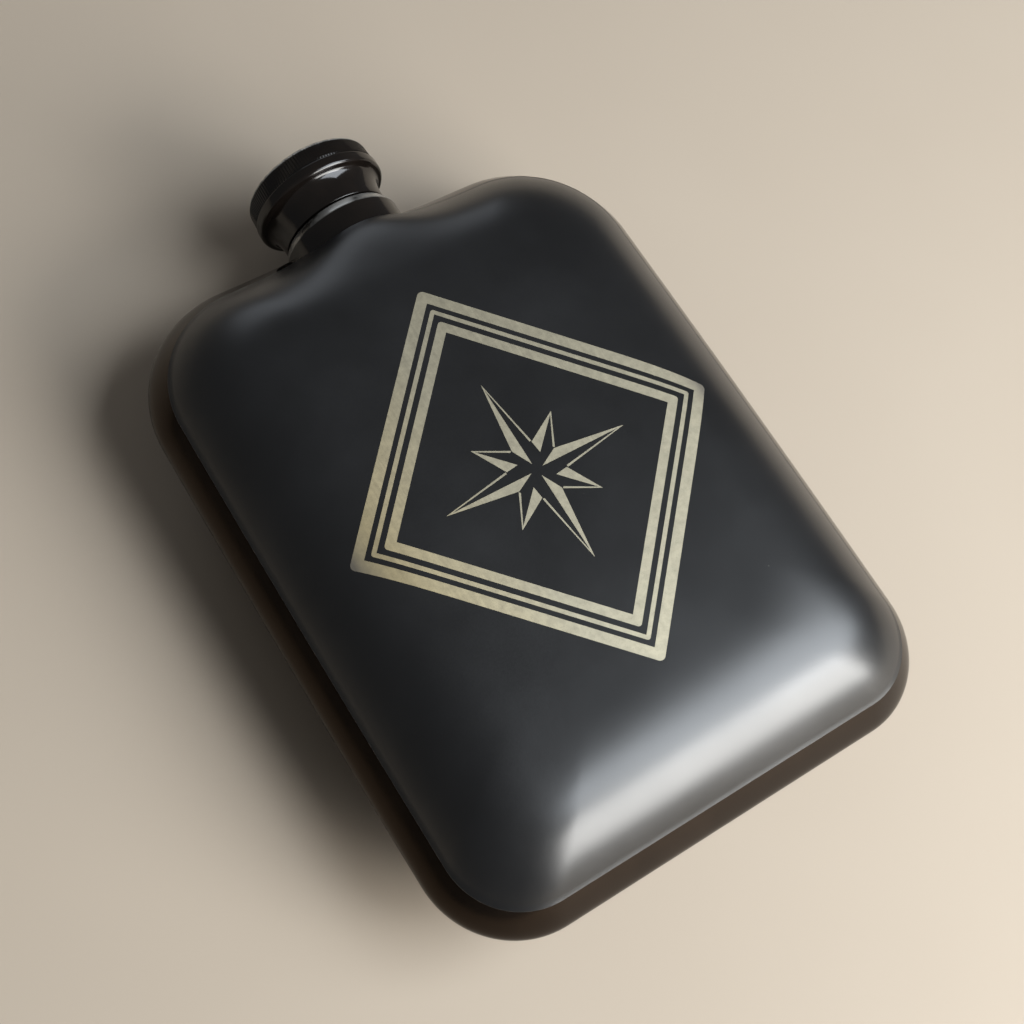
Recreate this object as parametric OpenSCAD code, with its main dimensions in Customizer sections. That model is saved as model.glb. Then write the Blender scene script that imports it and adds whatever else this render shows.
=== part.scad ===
// Pillow-shaped hip flask with a screw cap, lying on its back.
// X runs across the flask, +Y points out of the neck and +Z out of the front face.
// The origin is the middle of the flat land on the back.

/* [Body] */
// Width across the side walls
body_w = 90; // [84:1:96]
// Length from the base to the top edge, without neck and cap
body_h = 115; // [108:1:124]
// Thickness from the back land to the front face
body_t = 30; // [28:0.5:32]
// Corner radius at the two shoulders
shoulder_r = 20.5; // [18:0.5:23]
// Corner radius at the two bottom corners
bottom_r = 15.5; // [14:0.5:18]
// How far the middle of each side bows out beyond its ends
side_bow = 0.5; // [0:0.1:1]
// Thickness of the pressed sheet
sheet_t = 0.8; // [0.6:0.1:1]

/* [Pillow faces] */
// Height of each crease above or below the middle of the thickness
crease_rise = 5.2; // [4.5:0.1:6]
// How far the side wall bulges out beyond the creases
band_bulge = 3.2; // [2.5:0.1:3.6]
// Width of the rounded border between a crease and the flat land
roll_w = 22; // [20:0.5:23]
// Fullness of the rounded border, where higher is squarer
roll_power = 3.4; // [2.6:0.1:4]
// Corner radius of the flat land
land_r = 7; // [5:0.5:9]

/* [Neck] */
// Outside radius of the collar where it leaves the body
collar_r = 10.5; // [10.3:0.1:10.7]
// Height of the collar's lip above the top edge of the body
collar_h = 2.2; // [2:0.1:2.4]
// How much the pressing rises towards the collar at the top edge
neck_boss = 0.7; // [0.4:0.1:1]
// Share of the rounded border that is pulled up to meet the collar
neck_pull = 0.6; // [0.4:0.05:0.65]
// Radius of the bore of the spout
spout_bore_r = 6.4; // [6:0.1:6.5]
// Outside radius of the spout below its thread
spout_r = 7.4; // [7.3:0.05:7.45]
// Height of the mouth above the top edge of the body
mouth_h = 11; // [10.8:0.1:11.2]

/* [Cap] */
// Largest radius of the cap, at the smooth bead under the grip
cap_r = 11.8; // [11.7:0.05:11.9]
// Radius of the waist under the rim
waist_r = 9.6; // [9.5:0.05:9.7]
// Height of the cap's crown above the top edge of the body
cap_top_h = 13.5; // [13.4:0.1:13.8]
// Number of grip teeth round the cap
grip_teeth = 120; // [80:4:140]
// Depth of the grip teeth
grip_depth = 0.18; // [0.12:0.01:0.25]

/* [Thread] */
// Distance the cap rises in one turn
thread_lead = 2.5; // [2.4:0.05:2.6]
// Crest radius of the thread on the spout
thread_crest_r = 7.95; // [7.9:0.01:8]
// Crest radius of the thread in the cap
cap_thread_r = 7.62; // [7.58:0.01:7.66]

/* [Hidden] */

$fn = 96;
fit_gap = 0.02;              // between pieces that are brazed or pressed together
axis_z = body_t / 2;         // height of the neck axis

corner_steps = 9;            // facets round each corner of the body
top_steps = 16;              // facets along the top edge, where the neck boss is
side_steps = 6;              // facets along each side and the base
roll_steps = 10;             // rings across the rounded border
band_steps = 8;              // rings across the side wall
band_crowd = 1.3;            // how closely those rings crowd towards its fold
band_fold = 2.5;             // how flat the side wall's flanks are: higher is closer to a V
boss_reach = 11;             // how far into the face the neck boss spreads
boss_fade = 4;               // how sharply it ends there
boss_w = 9;                  // how far across the face it spreads
crease_land = sheet_t * 1.2; // width of the seam between a face and the side wall

collar_depth = 9;            // how far the collar reaches into the body
collar_t = 0.9;              // wall of the collar
collar_taper = 0.9;          // how far the lip draws in from the collar's foot
spout_depth = 10;            // how far the spout reaches into the body
mouth_edge = 0.25;           // chamfer round the mouth

cap_bottom = collar_h + 0.3; // the cap stops just clear of the collar
cap_edge = 0.12;             // chamfer round the cap's lower edge
flare_h = 3.6;               // where the waist begins to flare
bead_bottom = 7.4;           // where the flare meets the bead
bead_edge = 0.7;             // radius of the bead's lower edge
bead_shoulder = 0.3;         // radius of the bead's upper edge
skirt_bottom = 9.5;          // lower edge of the grip skirt, on top of the bead
cavity_r = 8.95;             // bore of the cap shell, which holds the insert
cavity_top = 12;             // ceiling of the cap shell
crown_h = 0.8;               // height of the crown above the grip teeth
crown_edge = [0.5, 0.5];     // width and height of the crown's rounded edge
crown_inset = 0.1;           // how far the crown stands in from the tooth roots
cup_lap = 0.1;               // how far the grip teeth reach above the shell's plate
cap_plate_top = cap_top_h - crown_h - cup_lap;  // top of the cap shell, under the top cup
cup_bore_r = 10.9;           // the rim of the shell, inside the top cup
grip_r = cap_r - 0.2;        // radius over the grip teeth
insert_bore_r = 8.15;        // bore of the insert between its threads
insert_edge = 0.3;           // chamfer at the insert's lower end
insert_set = 0.1;            // how far the insert stands back from the cap's lower edge
seal_play = 0.05;            // between the seal and the insert's bore

thread_base_w = 1;           // width of a thread ridge at its root
thread_tip_w = 0.5;          // width of a thread ridge at its crest
thread_root = 0.3;           // how deep a ridge is rooted in its wall
thread_steps = 24;           // facets in one turn of a thread
thread_fade = 6;             // facets over which a thread rises from its wall
spout_thread = [4.7, mouth_h - 0.9];  // lower and upper end of the thread on the spout
cap_thread = [5.3, mouth_h - 1.25];   // lower and upper end of the thread in the cap

// Puts the cap's ridge midway between two passes of the spout's ridge
cap_phase = let (shift = cap_thread[0] - spout_thread[0])
    thread_lead * (floor(shift / thread_lead) + 0.5) - shift;

// ---------- rings of the pressed body ----------

function corner(cx, cy, r, start) =
    [for (i = [0:corner_steps]) let (a = start + 90 * i / corner_steps)
        [cx + r * cos(a), cy + r * sin(a)]];

function between(a, b, n) = [for (i = [1:n - 1]) a + (b - a) * i / n];

// A corner's radius shrinks from its outer value to the land's as the ring moves in
function inset_radius(r, inset) =
    let (t = min(1, max(0, (inset - band_bulge) / roll_w)))
    r - min(inset, band_bulge) - (r - band_bulge - land_r) * t;

function plain_ring(inset) =
    let (w = body_w / 2 - inset, h = body_h / 2 - inset,
         rt = inset_radius(shoulder_r, inset), rb = inset_radius(bottom_r, inset))
    concat(
        corner(w - rt, h - rt, rt, 0),
        between([w - rt, h], [rt - w, h], top_steps),
        corner(rt - w, h - rt, rt, 90),
        between([-w, h - rt], [-w, rb - h], side_steps),
        corner(rb - w, rb - h, rb, 180),
        between([rb - w, -h], [w - rb, -h], side_steps),
        corner(w - rb, rb - h, rb, 270),
        between([w, rb - h], [w, h - rt], side_steps));

// How far the top edge moves towards the neck at a place x across
function boss_lift(x, inset) =
    (neck_boss + neck_pull * inset * exp(-(inset / boss_reach) ^ boss_fade)) * exp(-(x / boss_w) ^ 2);

function ring(inset, z) =
    let (h = body_h / 2 - inset)
    [for (p = plain_ring(inset))
        [p.x * (1 - 2 * side_bow / body_w * (2 * p.y / body_h) ^ 2),
         p.y + (p.y > 0 ? boss_lift(p.x, inset) * (p.y / h) ^ 8 : 0),
         z]];

// ---------- profiles: [inset from the widest outline, height] ----------

face_rise = body_t / 2 - crease_rise;

function roll_point(t) =
    [band_bulge + roll_w * t, axis_z + crease_rise + face_rise * (1 - (1 - t) ^ roll_power)];

// The inner skin lies one sheet thickness below the outer one, measured square to it
function roll_inner(t) =
    let (slope = face_rise * roll_power / roll_w * (1 - t) ^ (roll_power - 1),
         unit = sqrt(1 + slope ^ 2))
    roll_point(t) + sheet_t / unit * [slope, -1];

roll_places = [for (k = [0:roll_steps]) (k / roll_steps) ^ 1.3];

shell_profile = concat(
    [for (k = [roll_steps:-1:1]) roll_inner(roll_places[k])],
    [[band_bulge + crease_land, axis_z + crease_rise]],
    [for (t = roll_places) roll_point(t)]);

// A bulged wall is a V with a rounded fold, from its crown back to both creases
function fold(u) = sqrt(1 + (band_fold * u) ^ 2) - 1;

function bulge(crown, reach, u) =
    [crown + reach * fold(u) / fold(1), axis_z + crease_rise * u];

band_places = [for (k = [0:band_steps]) let (u = 2 * k / band_steps - 1)
    sign(u) * abs(u) ^ band_crowd];

band_profile = concat(
    [for (u = band_places) bulge(0, band_bulge, u)],
    [for (k = [band_steps:-1:0])
        bulge(sheet_t, band_bulge + crease_land - sheet_t, band_places[k])]);

// ---------- lofts ----------

function strip(a, b, n) =
    [for (i = [0:n - 1]) let (k = (i + 1) % n)
        each [[a * n + i, b * n + i, b * n + k], [a * n + i, b * n + k, a * n + k]]];

// Stacks the rings of a profile and closes the two ends with flat lands
module dish(profile) {
    rings = [for (p = profile) ring(p[0], p[1])];
    n = len(rings[0]);
    last = len(rings) - 1;
    polyhedron(
        points = [for (r = rings) each r],
        faces = concat(
            [[for (i = [0:n - 1]) i]],
            [for (j = [0:last - 1]) each strip(j, j + 1, n)],
            [[for (i = [n - 1:-1:0]) last * n + i]]));
}

// Stacks the rings of a closed profile into a hoop
module hoop(profile) {
    rings = [for (p = profile) ring(p[0], p[1])];
    n = len(rings[0]);
    m = len(rings);
    polyhedron(
        points = [for (r = rings) each r],
        faces = [for (j = [0:m - 1]) each strip(j, (j + 1) % m, n)]);
}

// Local Z becomes the neck axis, measured from the top edge of the body
module on_neck() {
    translate([0, body_h / 2, axis_z]) rotate([-90, 0, 0]) children();
}

module neck_hole() {
    on_neck() translate([0, 0, -collar_depth]) cylinder(h = 2 * collar_depth, r = collar_r + fit_gap);
}

// ---------- threads ----------

// A ridge that follows a right-hand helix and fades out at both ends.
// root and crest are its radii, phase shifts it along the axis.
module thread(root, crest, ends, phase) {
    turns = (ends[1] - ends[0]) / thread_lead;
    n = ceil(turns * thread_steps);
    sections = [for (i = [0:n])
        let (a = 360 * turns * i / n,
             fade = min(1, (i + 1) / thread_fade, (n - i + 1) / thread_fade),
             tip = root + (crest - root) * fade,
             mid = ends[0] + phase + thread_lead * a / 360,
             half = [thread_base_w / 2, thread_tip_w / 2])
        [for (q = [[root, -half[0]], [tip, -half[1]], [tip, half[1]], [root, half[0]]])
            [q[0] * cos(a), q[0] * sin(a), mid + q[1]]]];
    flip = crest > root ? 1 : -1;
    sides = [for (i = [0:n - 1]) for (k = [0:3])
        let (a = 4 * i + k, b = 4 * i + (k + 1) % 4)
        each [[a, b, b + 4], [a, b + 4, a + 4]]];
    caps = [[3, 2, 1, 0], [4 * n, 4 * n + 1, 4 * n + 2, 4 * n + 3]];
    polyhedron(
        points = [for (s = sections) each s],
        faces = [for (f = concat(sides, caps)) flip > 0 ? f : [for (i = [len(f) - 1:-1:0]) f[i]]]);
}

// ---------- body ----------

module front_shell() {
    color("#17181a") difference() {
        dish(shell_profile);
        neck_hole();
    }
}

module back_shell() {
    color("#17181a") translate([0, 0, body_t]) mirror([0, 0, 1]) difference() {
        dish(shell_profile);
        neck_hole();
    }
}

module side_band() {
    color("#0c0c0d") difference() {
        hoop(band_profile);
        neck_hole();
    }
}

// ---------- neck ----------

// Points of an elliptical arc from one angle to another
function arc(centre, size, from, to) =
    [for (k = [0:6]) let (a = from + (to - from) * k / 6)
        centre + [size[0] * cos(a), size[1] * sin(a)]];

module neck_collar() {
    inner_r = collar_r - collar_t;
    under_lip = collar_h - collar_t;
    soft = 0.5;
    color("#0b0b0c") on_neck() rotate_extrude() polygon(concat(
        [[collar_r, -collar_depth]],
        arc([collar_r - collar_taper, 0], [collar_taper, collar_h], 0, 90),
        [[spout_r + fit_gap, collar_h], [spout_r + fit_gap, under_lip]],
        arc([inner_r - soft, under_lip - soft], [soft, soft], 90, 0),
        [[inner_r, -collar_depth]]));
}

module neck_spout() {
    color("#b9b7ae") on_neck() {
        rotate_extrude() polygon([
            [spout_bore_r, -spout_depth],
            [spout_r, -spout_depth],
            [spout_r, mouth_h - mouth_edge],
            [spout_r - mouth_edge, mouth_h],
            [spout_bore_r + mouth_edge, mouth_h],
            [spout_bore_r, mouth_h - mouth_edge]]);
        thread(spout_r - thread_root, thread_crest_r, spout_thread, 0);
    }
}

// ---------- cap ----------

module cap_shell() {
    flare_r = cap_r - bead_edge;
    bead_top = skirt_bottom - fit_gap;
    rim_r = cup_bore_r - fit_gap;
    color("#0b0b0c") on_neck() rotate_extrude() polygon(concat(
        [[cavity_r, cap_bottom], [waist_r - cap_edge, cap_bottom], [waist_r, cap_bottom + cap_edge]],
        arc([flare_r, flare_h], [flare_r - waist_r, bead_bottom - flare_h], 180, 90),
        arc([flare_r, bead_bottom + bead_edge], [bead_edge, bead_edge], -75, 0),
        arc([cap_r - bead_shoulder, bead_top - bead_shoulder], [bead_shoulder, bead_shoulder], 0, 90),
        [[rim_r, bead_top], [rim_r, cap_plate_top], [0, cap_plate_top],
         [0, cavity_top], [cavity_r, cavity_top]]));
}

module cap_top() {
    step = 180 / grip_teeth;
    root_r = grip_r - grip_depth;
    teeth_top = cap_top_h - crown_h;
    crown_r = root_r - crown_inset;
    under = cap_plate_top + fit_gap;
    teeth = [for (i = [0:2 * grip_teeth - 1])
        (i % 2 == 0 ? grip_r : root_r) * [cos(step * i), sin(step * i)]];
    color("#0d0d0e") on_neck() {
        difference() {
            translate([0, 0, skirt_bottom]) linear_extrude(height = teeth_top - skirt_bottom)
                polygon(teeth);
            translate([0, 0, skirt_bottom - 1]) cylinder(h = under - skirt_bottom + 1, r = cup_bore_r);
        }
        rotate_extrude() polygon(concat(
            [[0, under], [crown_r, under]],
            arc([crown_r - crown_edge[0], teeth_top], crown_edge, 0, 90),
            [[0, cap_top_h]]));
    }
}

module cap_insert() {
    insert_bottom = cap_bottom + insert_set;
    insert_top = cavity_top - fit_gap;
    color("#a8a69e") on_neck() {
        rotate_extrude() polygon([
            [insert_bore_r + insert_edge, insert_bottom],
            [cavity_r - fit_gap, insert_bottom],
            [cavity_r - fit_gap, insert_top],
            [insert_bore_r, insert_top],
            [insert_bore_r, insert_bottom + insert_edge]]);
        thread(insert_bore_r + thread_root, cap_thread_r, cap_thread, cap_phase);
    }
}

module cap_seal() {
    bottom = mouth_h + fit_gap;
    color("#c9c5b8") on_neck() translate([0, 0, bottom])
        cylinder(h = cavity_top - fit_gap - bottom, r = insert_bore_r - seal_play);
}

front_shell();
back_shell();
side_band();
neck_collar();
neck_spout();
cap_shell();
cap_top();
cap_insert();
cap_seal();
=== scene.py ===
"""Looks for a pillow-shaped hip flask: pressed faces, side wall, collar, screw cap and emblem.

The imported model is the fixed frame. Every piece here is built round it, in the same frame: X runs
across the flask, +Y points out of the neck and +Z out of the front face. Lengths are in millimetres
until a mesh is made. A rise is a height along the neck, measured from the body's top edge.
"""

import logging
import math
from dataclasses import dataclass, field
from enum import Enum
from typing import Any, Iterable, Sequence

import bmesh
import bpy
import numpy as np
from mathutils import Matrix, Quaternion, Vector


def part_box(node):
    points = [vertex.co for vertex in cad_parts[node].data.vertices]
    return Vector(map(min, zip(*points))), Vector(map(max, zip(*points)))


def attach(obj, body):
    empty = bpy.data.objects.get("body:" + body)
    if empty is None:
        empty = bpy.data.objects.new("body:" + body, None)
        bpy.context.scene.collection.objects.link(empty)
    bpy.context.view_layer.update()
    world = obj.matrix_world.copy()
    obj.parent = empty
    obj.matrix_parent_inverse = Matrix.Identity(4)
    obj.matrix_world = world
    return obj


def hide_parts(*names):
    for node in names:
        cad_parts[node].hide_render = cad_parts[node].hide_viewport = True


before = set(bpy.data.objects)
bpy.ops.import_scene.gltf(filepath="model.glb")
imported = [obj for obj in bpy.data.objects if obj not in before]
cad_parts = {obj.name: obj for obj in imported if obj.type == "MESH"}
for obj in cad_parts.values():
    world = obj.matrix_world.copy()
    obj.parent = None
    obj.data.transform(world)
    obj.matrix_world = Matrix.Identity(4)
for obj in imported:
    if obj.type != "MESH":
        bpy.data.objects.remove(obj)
log = logging.getLogger("flask")

MM = 0.001

FULL_TURN = 2 * math.pi
PLAY = 0.02  # Millimetres between two pieces that fit in one another.

Point = tuple[float, float]
Triple = tuple[float, float, float]


class Slot(str, Enum):
    """The record's material slots."""

    SATIN_BLACK = "satin_black"
    GLOSS_BLACK = "gloss_black"
    BARE_STEEL = "bare_steel"
    SEAL = "seal"


class Rides(str, Enum):
    """The CAD bodies that pieces move with."""

    FLASK = "flask"
    CAP_LIFT = "cap_lift"
    CAP = "cap"


# ---------------------------------------------------------------- node trees


class Signal:
    """A number on its way through a node tree. Arithmetic on it adds Math nodes."""

    def __init__(self, canvas: "Canvas", socket: Any) -> None:
        """Wraps an output socket of a tree."""
        self.canvas = canvas
        self.socket = socket

    def _math(self, operation: str, *values: Any, clamp: bool = False) -> "Signal":
        """The result of a new Math node, kept between 0 and 1 if clamped."""
        settings = {"operation": operation, "use_clamp": clamp}
        return self.canvas.signal("ShaderNodeMath", settings, dict(enumerate(values)))

    def __add__(self, other: Any) -> "Signal":
        """The sum."""
        return self._math("ADD", self, other)

    def __radd__(self, other: Any) -> "Signal":
        """The sum, with the plain number first."""
        return self._math("ADD", other, self)

    def __sub__(self, other: Any) -> "Signal":
        """The difference."""
        return self._math("SUBTRACT", self, other)

    def __rsub__(self, other: Any) -> "Signal":
        """The difference, with the plain number first."""
        return self._math("SUBTRACT", other, self)

    def __mul__(self, other: Any) -> "Signal":
        """The product."""
        return self._math("MULTIPLY", self, other)

    def __rmul__(self, other: Any) -> "Signal":
        """The product, with the plain number first."""
        return self._math("MULTIPLY", other, self)

    def __truediv__(self, other: Any) -> "Signal":
        """The quotient."""
        return self._math("DIVIDE", self, other)

    def __rtruediv__(self, other: Any) -> "Signal":
        """The quotient, with the plain number first."""
        return self._math("DIVIDE", other, self)

    def __mod__(self, other: Any) -> "Signal":
        """The remainder, never below zero."""
        return self._math("FLOORED_MODULO", self, other)

    def __pow__(self, other: Any) -> "Signal":
        """The power."""
        return self._math("POWER", self, other)

    def floor(self) -> "Signal":
        """The whole number at or below."""
        return self._math("FLOOR", self)

    def sin(self) -> "Signal":
        """The sine of an angle in radians."""
        return self._math("SINE", self)

    def cos(self) -> "Signal":
        """The cosine of an angle in radians."""
        return self._math("COSINE", self)

    def least(self, other: Any) -> "Signal":
        """The smaller of two numbers."""
        return self._math("MINIMUM", self, other)

    def above(self, edge: float) -> "Signal":
        """1 where the number is over an edge, and 0 elsewhere."""
        return self._math("GREATER_THAN", self, edge)

    def clamped(self) -> "Signal":
        """The number kept between 0 and 1."""
        return self._math("MULTIPLY", self, 1.0, clamp=True)

    def ramp(self, low: float, high: float) -> "Signal":
        """A straight climb from 0 at low to 1 at high, level beyond them."""
        return ((self - low) * (1.0 / (high - low))).clamped()


class Canvas:
    """A node tree being drawn, for a shader or for geometry."""

    def __init__(self, tree: bpy.types.NodeTree) -> None:
        """Empties a tree to draw in it."""
        self.tree = tree
        tree.nodes.clear()

    def add(self, kind: str, settings: dict[str, Any] | None = None,
            inputs: dict[Any, Any] | None = None) -> Any:
        """Adds any node: its settings first, then its sockets.

        Args:
            kind: The node's type.
            settings: Attributes to set.
            inputs: Socket names or numbers, with the value, signal or socket that each takes.

        Returns:
            The node.
        """
        node = self.tree.nodes.new(kind)
        for name, value in (settings or {}).items():
            setattr(node, name, value)
        for key, value in (inputs or {}).items():
            self.plug(node.inputs[key], value)
        return node

    def signal(self, kind: str, settings: dict[str, Any], inputs: dict[Any, Any],
               output: Any = 0) -> Signal:
        """Adds a node as add does, and wraps the output of that name or number."""
        return Signal(self, self.add(kind, settings, inputs).outputs[output])

    def mix_colour(self, factor: Any, low: Any, high: Any) -> Any:
        """The socket of a mix of two colours: low where the factor is 0, high where it is 1."""
        inputs = {0: factor, 6: low, 7: high}
        return self.add("ShaderNodeMix", {"data_type": "RGBA"}, inputs).outputs[2]

    def vector(self, x: Any, y: Any, z: Any) -> Any:
        """The socket of a vector made of three numbers."""
        return self.add("ShaderNodeCombineXYZ", {}, {"X": x, "Y": y, "Z": z}).outputs[0]

    def split(self, vector: Any) -> list[Signal]:
        """The three numbers in a vector's socket."""
        node = self.add("ShaderNodeSeparateXYZ", {}, {"Vector": vector})
        return [Signal(self, node.outputs[axis]) for axis in "XYZ"]

    def plug(self, socket: Any, value: Any) -> None:
        """Links a socket, or sets its default.

        Args:
            socket: The input socket.
            value: A signal, an output socket, a number or a colour.
        """
        if isinstance(value, Signal):
            value = value.socket
        if isinstance(value, bpy.types.NodeSocket):
            self.tree.links.new(value, socket)
        elif socket.type == "RGBA" and len(value) == 3:
            socket.default_value = (*value, 1.0)
        else:
            socket.default_value = value


# ---------------------------------------------------------------- finishes


class Brush:
    """A material being drawn round one Principled node."""

    def __init__(self, name: str) -> None:
        """Starts a material.

        Args:
            name: Its name.
        """
        self.made = bpy.data.materials.new(name)
        self.made.use_nodes = True
        self.canvas = Canvas(self.made.node_tree)
        self.shader = self.canvas.add("ShaderNodeBsdfPrincipled")
        self.place = self.canvas.add("ShaderNodeTexCoord").outputs["Object"]
        self.canvas.add("ShaderNodeOutputMaterial", {}, {"Surface": self.shader.outputs[0]})

    def paint(self, socket: str, value: Any) -> None:
        """Links or sets the shader's socket of that name."""
        self.canvas.plug(self.shader.inputs[socket], value)

    def painted(self, socket: str) -> Any:
        """The output that one of the shader's sockets is linked to."""
        return self.shader.inputs[socket].links[0].from_socket

    def noise(self, pitch: float, detail: float = 2.0, stretch: Triple | None = None) -> Signal:
        """Cloudy noise from 0 to 1.

        Args:
            pitch: The size of one cloud in millimetres.
            detail: How many finer layers it has.
            stretch: Scale along each axis, for streaks.

        Returns:
            The noise.
        """
        place = self.place
        if stretch is not None:
            scaled = {"Vector": place, "Scale": stretch}
            place = self.canvas.add("ShaderNodeMapping", {}, scaled).outputs[0]
        inputs = {"Vector": place, "Scale": 1.0 / (pitch * MM), "Detail": detail, "Roughness": 0.55}
        return self.canvas.signal("ShaderNodeTexNoise", {"noise_dimensions": "3D"}, inputs)

    def specks(self, spacing: float, size: float) -> Signal:
        """Sparse round specks, 1 inside and 0 outside.

        Args:
            spacing: The mean distance between specks in millimetres.
            size: The radius of a speck as a share of the spacing.

        Returns:
            The mask.
        """
        settings = {"voronoi_dimensions": "3D", "feature": "F1"}
        inputs = {"Vector": self.place, "Scale": 1.0 / (spacing * MM), "Randomness": 1.0}
        distance = self.canvas.signal("ShaderNodeTexVoronoi", settings, inputs, "Distance")
        return 1.0 - distance.ramp(size * 0.6, size)

    def bump(self, height: Signal, depth: float) -> None:
        """Feeds the shader's normal from a height of 0 to 1, which spans a depth in millimetres."""
        inputs = {"Strength": 1.0, "Distance": depth * MM, "Height": height}
        self.paint("Normal", self.canvas.add("ShaderNodeBump", {}, inputs).outputs[0])


@dataclass(frozen=True)
class Finish:
    """A surface's look."""

    name: str

    def material(self) -> bpy.types.Material:
        """Makes the material, once for each name.

        Returns:
            The material.
        """
        known = bpy.data.materials.get(self.name)
        if known:
            return known
        brush = Brush(self.name)
        self.draw(brush)
        return brush.made

    def draw(self, brush: Brush) -> None:
        """Sets the shader's sockets, each finish in its own way."""
        raise NotImplementedError


@dataclass(frozen=True)
class SatinCoat(Finish):
    """Fine-grained black powder coat, with handling haze and a few specks of dust."""

    dark: Triple = (0.0040, 0.0042, 0.0047)
    pale: Triple = (0.0062, 0.0065, 0.0073)
    dust: Triple = (0.16, 0.155, 0.14)
    smooth: float = 0.30
    rough: float = 0.36
    ior: float = 1.6
    haze_pitch: float = 19.0
    grain_pitch: float = 0.22
    grain_depth: float = 0.0036
    grain_gloss: float = 0.09
    peel_pitch: float = 1.6
    peel_depth: float = 0.004

    def draw(self, brush: Brush) -> None:
        """Draws the coat.

        Args:
            brush: The material to draw.
        """
        mix = brush.canvas.mix_colour
        haze = brush.noise(self.haze_pitch, 3.0)
        grain = brush.noise(self.grain_pitch)
        peel = brush.noise(self.peel_pitch, 1.0)
        dust = brush.specks(13.0, 0.013) + brush.specks(7.0, 0.009) * 0.4
        coat = mix(haze.ramp(0.35, 0.7), self.dark, self.pale)
        brush.paint("Base Color", mix(dust.clamped(), coat, self.dust))
        roughness = haze.ramp(0.3, 0.72) * (self.rough - self.smooth) + self.smooth
        brush.paint("Roughness", roughness + (grain - 0.5) * self.grain_gloss)
        brush.paint("IOR", self.ior)
        depth = self.grain_depth + self.peel_depth
        relief = grain * self.grain_depth + peel * self.peel_depth
        brush.bump(relief * (1.0 / depth), depth)


@dataclass(frozen=True)
class GlossEnamel(Finish):
    """Polished black enamel with faint rubbing marks. A tint other than white paints a colour into
    its reflections.
    """

    colour: Triple = (0.0045, 0.0034, 0.0028)
    worn: Triple = (0.0085, 0.0060, 0.0045)
    polish: float = 0.07
    rubbed: float = 0.17
    ior: float = 1.45
    reflection_tint: Triple = (1.0, 1.0, 1.0)
    wave_depth: float = 0.012

    def draw(self, brush: Brush) -> None:
        """Draws the enamel.

        Args:
            brush: The material to draw.
        """
        smear = brush.noise(6.5, 3.0)
        hairlines = brush.noise(0.5, 3.0, (0.12, 0.12, 1.0))
        rub = (smear.ramp(0.42, 0.75) * 0.7 + hairlines.ramp(0.55, 0.8) * 0.3).clamped()
        brush.paint("Base Color", brush.canvas.mix_colour(rub, self.colour, self.worn))
        brush.paint("Roughness", rub * (self.rubbed - self.polish) + self.polish)
        brush.paint("IOR", self.ior)
        # A tint other than white paints a colour into the reflections, which is a painted
        # reflection.
        brush.paint("Specular Tint", self.reflection_tint)
        brush.bump(brush.noise(5.0, 1.0), self.wave_depth)


@dataclass(frozen=True)
class WornEnamel(GlossEnamel):
    """Enamel that handling has worn to bare steel, in patches, round one edge of a turned piece."""

    axis_height: float = 0.0
    worn_from: float = 0.0
    worn_radius: float = 0.0
    blend: float = 0.3
    share: float = 0.8
    patch_pitch: float = 0.9
    patch_least: float = 0.3
    steel: Triple = (0.58, 0.57, 0.54)
    steel_roughness: float = 0.24

    def draw(self, brush: Brush) -> None:
        """Draws the enamel, then the bare edge over it.

        Args:
            brush: The material to draw.
        """
        super().draw(brush)
        across, along, up = (part * (1.0 / MM) for part in brush.canvas.split(brush.place))
        up = up - self.axis_height
        radius = (across * across + up * up) ** 0.5
        edge = along.ramp(self.worn_from, self.worn_from + self.blend)
        edge = edge * radius.ramp(self.worn_radius, self.worn_radius + self.blend)
        patch = brush.noise(self.patch_pitch, 3.0).ramp(0.4, 0.62)
        patch = patch * (1.0 - self.patch_least) + self.patch_least
        bare = edge * patch * self.share
        coat = brush.painted("Base Color")
        gloss = Signal(brush.canvas, brush.painted("Roughness"))
        brush.paint("Base Color", brush.canvas.mix_colour(bare, coat, self.steel))
        brush.paint("Metallic", bare)
        brush.paint("Roughness", gloss * (1.0 - bare) + bare * self.steel_roughness)


@dataclass(frozen=True)
class MarkedSteel(Finish):
    """Bare metal where the coat is burnt away. It fades where the face falls away from the beam,
    and its left side is tinted warmer, which is a painted warm glint.
    """

    face_top: float
    face_edge: float
    bright: Triple = (0.56, 0.515, 0.385)
    # The warm colour and its span across the left side paint a warm glint. They are not a colour of
    # the metal.
    warm_glint: Triple = (0.66, 0.545, 0.31)
    warm_glint_span: Point = (8.0, 27.0)
    burnt: Triple = (0.13, 0.118, 0.10)
    roughness: float = 0.44
    relief: float = 0.006

    def draw(self, brush: Brush) -> None:
        """Draws the mark.

        Args:
            brush: The material to draw.
        """
        mix = brush.canvas.mix_colour
        across, _, height = brush.canvas.split(brush.place)
        drop = (self.face_top * MM - height) * (1.0 / MM)
        fade = drop.ramp(self.face_edge * 0.22, self.face_edge)
        patch = brush.noise(1.3, 4.0)
        grain = brush.noise(0.16, 1.0)
        streak = brush.noise(0.35, 2.0, (1.0, 0.09, 1.0))
        # Painted warm glint: towards the left side the marks shift to the warm colour.
        side = (across * (-1.0 / MM)).ramp(*self.warm_glint_span)
        speckle = (patch.ramp(0.35, 0.8) * 0.30 + grain.ramp(0.55, 0.85) * 0.22).clamped()
        metal = mix(speckle, mix(side * 0.75, self.bright, self.warm_glint), self.burnt)
        brush.paint("Base Color", mix(fade * 0.94, metal, self.burnt))
        brush.paint("Metallic", 1.0 - fade * 0.45)
        brush.paint("Roughness", streak * 0.12 + self.roughness + fade * 0.12)
        brush.bump(streak * 0.6 + grain * 0.4, self.relief)


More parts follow.
